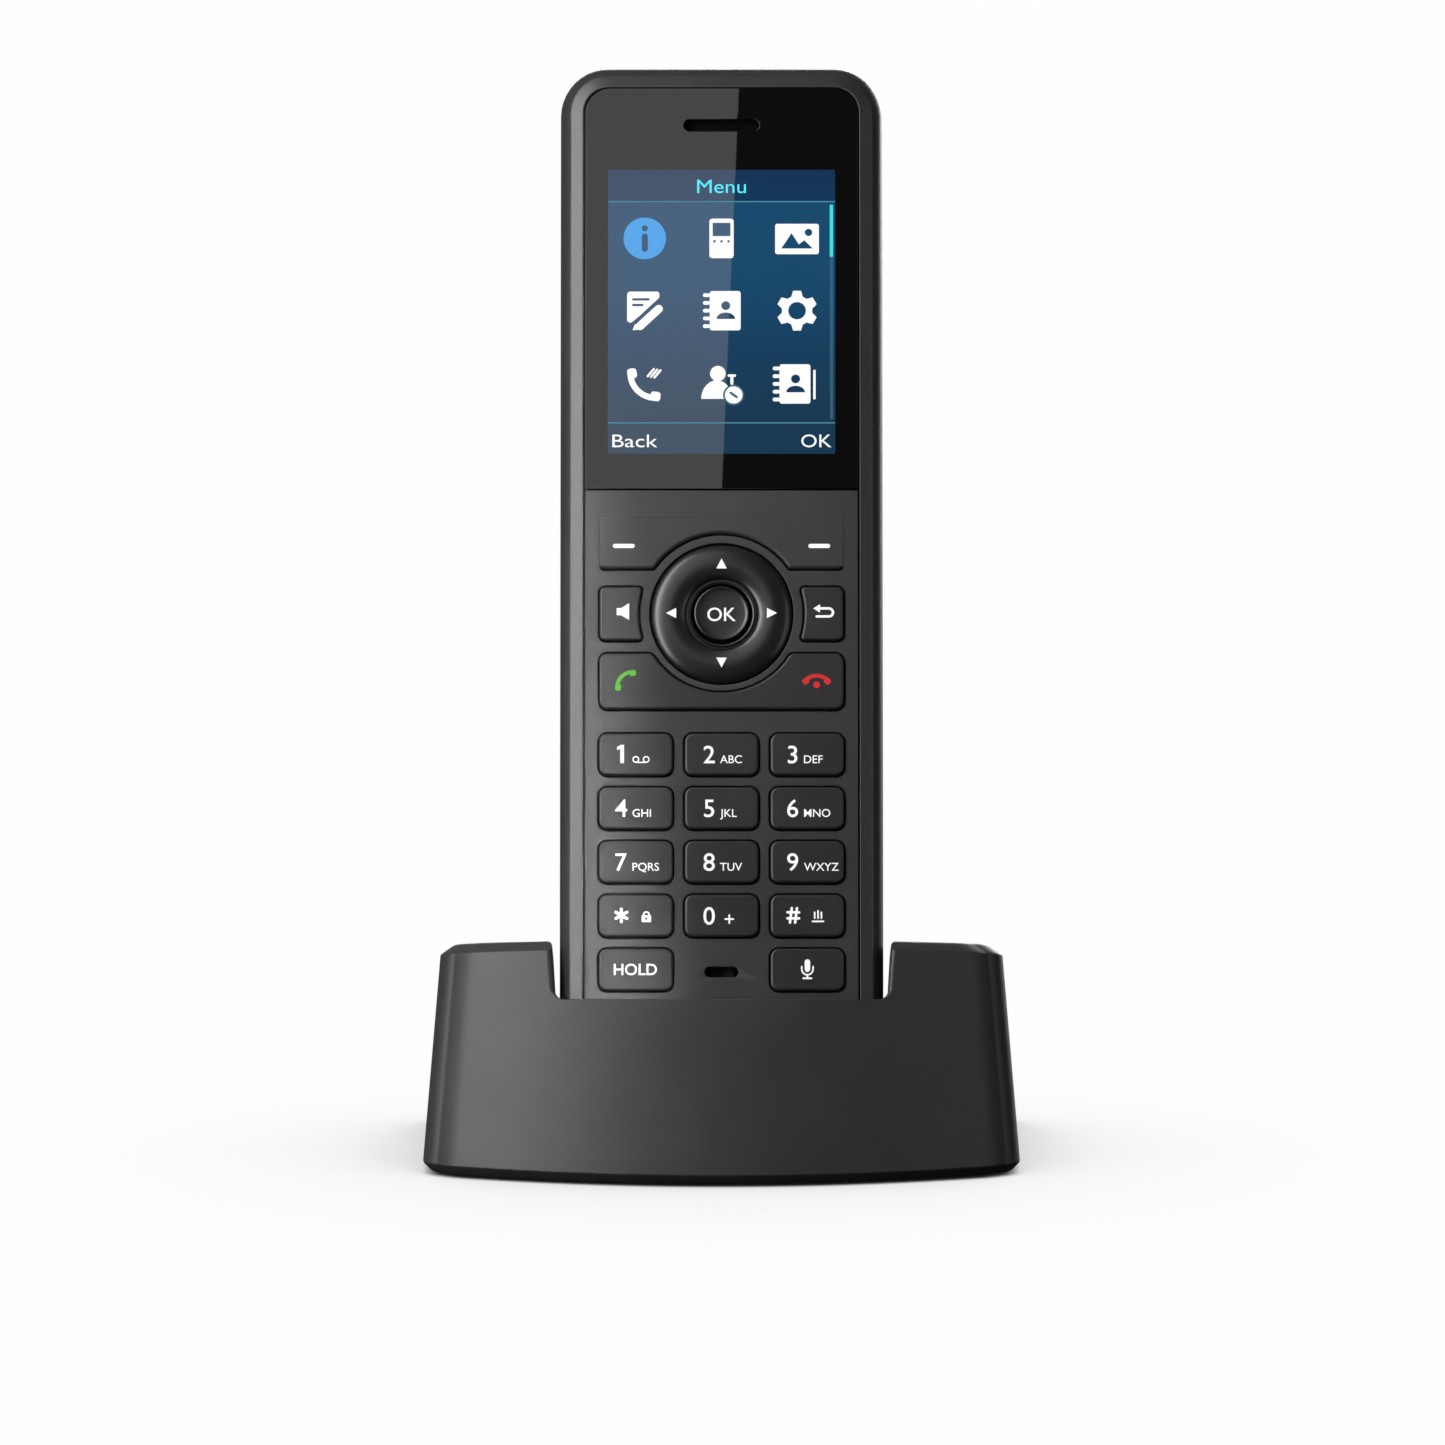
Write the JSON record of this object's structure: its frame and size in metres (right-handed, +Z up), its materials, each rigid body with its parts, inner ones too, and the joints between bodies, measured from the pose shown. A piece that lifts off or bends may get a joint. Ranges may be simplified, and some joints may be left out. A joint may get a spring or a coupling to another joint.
{
  "type": "cordless telephone handset with charging cradle",
  "caption": "Slim cordless handset with colour display and keypad, leaning back in a wedge-shaped charging cradle that holds its lower end in a notch",
  "frame": {"origin": "on the table, under the centre of the whole set's bounding box", "axes": "+Z up, front and keys towards -Y, +X to the right of someone who looks at the keys"},
  "size_m": [0.0978, 0.0782, 0.177],
  "materials": {
    "cradle": "Cradle shell",
    "cradle_base": "Cradle base plate",
    "housing": "Handset housing and battery door",
    "fascia": "Key fascia and soft-key bar",
    "keys": "Keys",
    "ring": "Navigation ring",
    "window": "Display window",
    "display": "Display panel",
    "backlight": "Backlight",
    "speaker": "Earpiece and loudspeaker",
    "mesh": "Earpiece mesh",
    "board": "Circuit boards",
    "silicone": "Key mat and ring collar",
    "feet": "Feet",
    "holder": "Contact block and jack body",
    "battery": "Battery pack",
    "contact": "Contacts, pins, pads and antenna",
    "inlet": "Power inlet shell",
    "screws": "Screws",
    "domes": "Dome switches and microphone can"
  },
  "bodies": {
    "cradle": {"cradle_shell": "cradle", "cradle_base_plate": "cradle_base", "cradle_feet": "feet", "cradle_screws": "screws", "cradle_board": "board", "power_inlet": "inlet", "contact_block": "holder"},
    "pin_left": {"charge_pin_left": "contact"},
    "pin_right": {"charge_pin_right": "contact"},
    "door": {"battery_door": "housing"},
    "soft_rocker": {"soft_key_rocker": "fascia"},
    "call_rocker": {"call_end_rocker": "keys"},
    "ring_collar": {"nav_collar": "silicone"},
    "ring": {"nav_ring": "ring"},
    "handset": {"front_housing": "housing", "rear_housing": "housing", "face_plate": "fascia", "display_window": "window", "lcd_panel": "display", "lcd_backlight": "backlight", "earpiece": "speaker", "earpiece_mesh": "mesh", "main_board": "board", "keypad_mat": "silicone", "dome_switches": "domes", "microphone": "domes", "loudspeaker": "speaker", "headset_jack": "holder", "antenna": "contact", "battery_pack": "battery", "battery_contacts": "contact", "charge_pads": "contact", "housing_screws": "screws"},
    "b_key_1": {"key_1": "keys"},
    "b_key_2": {"key_2": "keys"},
    "b_key_3": {"key_3": "keys"},
    "b_key_4": {"key_4": "keys"},
    "b_key_5": {"key_5": "keys"},
    "b_key_6": {"key_6": "keys"},
    "b_key_7": {"key_7": "keys"},
    "b_key_8": {"key_8": "keys"},
    "b_key_9": {"key_9": "keys"},
    "b_key_star": {"key_star": "keys"},
    "b_key_0": {"key_0": "keys"},
    "b_key_hash": {"key_hash": "keys"},
    "b_key_hold": {"key_hold": "keys"},
    "b_key_mute": {"key_mute": "keys"},
    "b_speaker_key": {"speaker_key": "keys"},
    "b_back_key": {"back_key": "keys"},
    "b_ok_key": {"ok_key": "keys"}
  },
  "joints": [
    {"name": "handset_lift", "type": "slide", "parent": "cradle", "child": "handset", "axis": [0, 0.309, 0.9511], "range_m": [0, 0.06]},
    {"name": "press_key_1", "type": "slide", "parent": "handset", "child": "b_key_1", "axis": [0, 0.9511, -0.309], "range_m": [0, 0.0004], "stiffness_N_per_m": 1000},
    {"name": "press_key_2", "type": "slide", "parent": "handset", "child": "b_key_2", "axis": [0, 0.9511, -0.309], "range_m": [0, 0.0004], "stiffness_N_per_m": 1000},
    {"name": "press_key_3", "type": "slide", "parent": "handset", "child": "b_key_3", "axis": [0, 0.9511, -0.309], "range_m": [0, 0.0004], "stiffness_N_per_m": 1000},
    {"name": "press_key_4", "type": "slide", "parent": "handset", "child": "b_key_4", "axis": [0, 0.9511, -0.309], "range_m": [0, 0.0004], "stiffness_N_per_m": 1000},
    {"name": "press_key_5", "type": "slide", "parent": "handset", "child": "b_key_5", "axis": [0, 0.9511, -0.309], "range_m": [0, 0.0004], "stiffness_N_per_m": 1000},
    {"name": "press_key_6", "type": "slide", "parent": "handset", "child": "b_key_6", "axis": [0, 0.9511, -0.309], "range_m": [0, 0.0004], "stiffness_N_per_m": 1000},
    {"name": "press_key_7", "type": "slide", "parent": "handset", "child": "b_key_7", "axis": [0, 0.9511, -0.309], "range_m": [0, 0.0004], "stiffness_N_per_m": 1000},
    {"name": "press_key_8", "type": "slide", "parent": "handset", "child": "b_key_8", "axis": [0, 0.9511, -0.309], "range_m": [0, 0.0004], "stiffness_N_per_m": 1000},
    {"name": "press_key_9", "type": "slide", "parent": "handset", "child": "b_key_9", "axis": [0, 0.9511, -0.309], "range_m": [0, 0.0004], "stiffness_N_per_m": 1000},
    {"name": "press_key_star", "type": "slide", "parent": "handset", "child": "b_key_star", "axis": [0, 0.9511, -0.309], "range_m": [0, 0.0004], "stiffness_N_per_m": 1000},
    {"name": "press_key_0", "type": "slide", "parent": "handset", "child": "b_key_0", "axis": [0, 0.9511, -0.309], "range_m": [0, 0.0004], "stiffness_N_per_m": 1000},
    {"name": "press_key_hash", "type": "slide", "parent": "handset", "child": "b_key_hash", "axis": [0, 0.9511, -0.309], "range_m": [0, 0.0004], "stiffness_N_per_m": 1000},
    {"name": "press_key_hold", "type": "slide", "parent": "handset", "child": "b_key_hold", "axis": [0, 0.9511, -0.309], "range_m": [0, 0.0004], "stiffness_N_per_m": 1000},
    {"name": "press_key_mute", "type": "slide", "parent": "handset", "child": "b_key_mute", "axis": [0, 0.9511, -0.309], "range_m": [0, 0.0004], "stiffness_N_per_m": 1000},
    {"name": "press_speaker_key", "type": "slide", "parent": "handset", "child": "b_speaker_key", "axis": [0, 0.9511, -0.309], "range_m": [0, 0.0004], "stiffness_N_per_m": 1000},
    {"name": "press_back_key", "type": "slide", "parent": "handset", "child": "b_back_key", "axis": [0, 0.9511, -0.309], "range_m": [0, 0.0004], "stiffness_N_per_m": 1000},
    {"name": "press_ok_key", "type": "slide", "parent": "handset", "child": "b_ok_key", "axis": [0, 0.9511, -0.309], "range_m": [0, 0.0004], "stiffness_N_per_m": 1000},
    {"name": "ring_side_tip", "type": "hinge", "parent": "handset", "child": "ring_collar", "pos_m": [0, -0.00305, 0.08914], "axis": [0, 0.309, 0.9511], "range_deg": [-1.1, 1.1], "stiffness_Nm_per_rad": 3},
    {"name": "ring_up_tip", "type": "hinge", "parent": "ring_collar", "child": "ring", "pos_m": [0, -0.00381, 0.08939], "axis": [1, 0, 0], "range_deg": [-1.1, 1.1], "stiffness_Nm_per_rad": 3},
    {"name": "soft_key_rock", "type": "hinge", "parent": "handset", "child": "soft_rocker", "pos_m": [0, -0.00048, 0.10093], "axis": [0, 0.309, 0.9511], "range_deg": [-0.9, 0.9], "stiffness_Nm_per_rad": 8},
    {"name": "call_end_rock", "type": "hinge", "parent": "handset", "child": "call_rocker", "pos_m": [0, -0.00759, 0.07905], "axis": [0, 0.309, 0.9511], "range_deg": [-0.9, 0.9], "stiffness_Nm_per_rad": 8},
    {"name": "charge_pin_left_press", "type": "slide", "parent": "cradle", "child": "pin_left", "axis": [0, 0.309, 0.9511], "range_m": [-0.0006, 0], "stiffness_N_per_m": 150},
    {"name": "charge_pin_right_press", "type": "slide", "parent": "cradle", "child": "pin_right", "axis": [0, 0.309, 0.9511], "range_m": [-0.0006, 0], "stiffness_N_per_m": 150},
    {"name": "battery_door_off", "type": "slide", "parent": "handset", "child": "door", "axis": [0, 0.9511, -0.309], "range_m": [0, 0.025]}
  ]
}
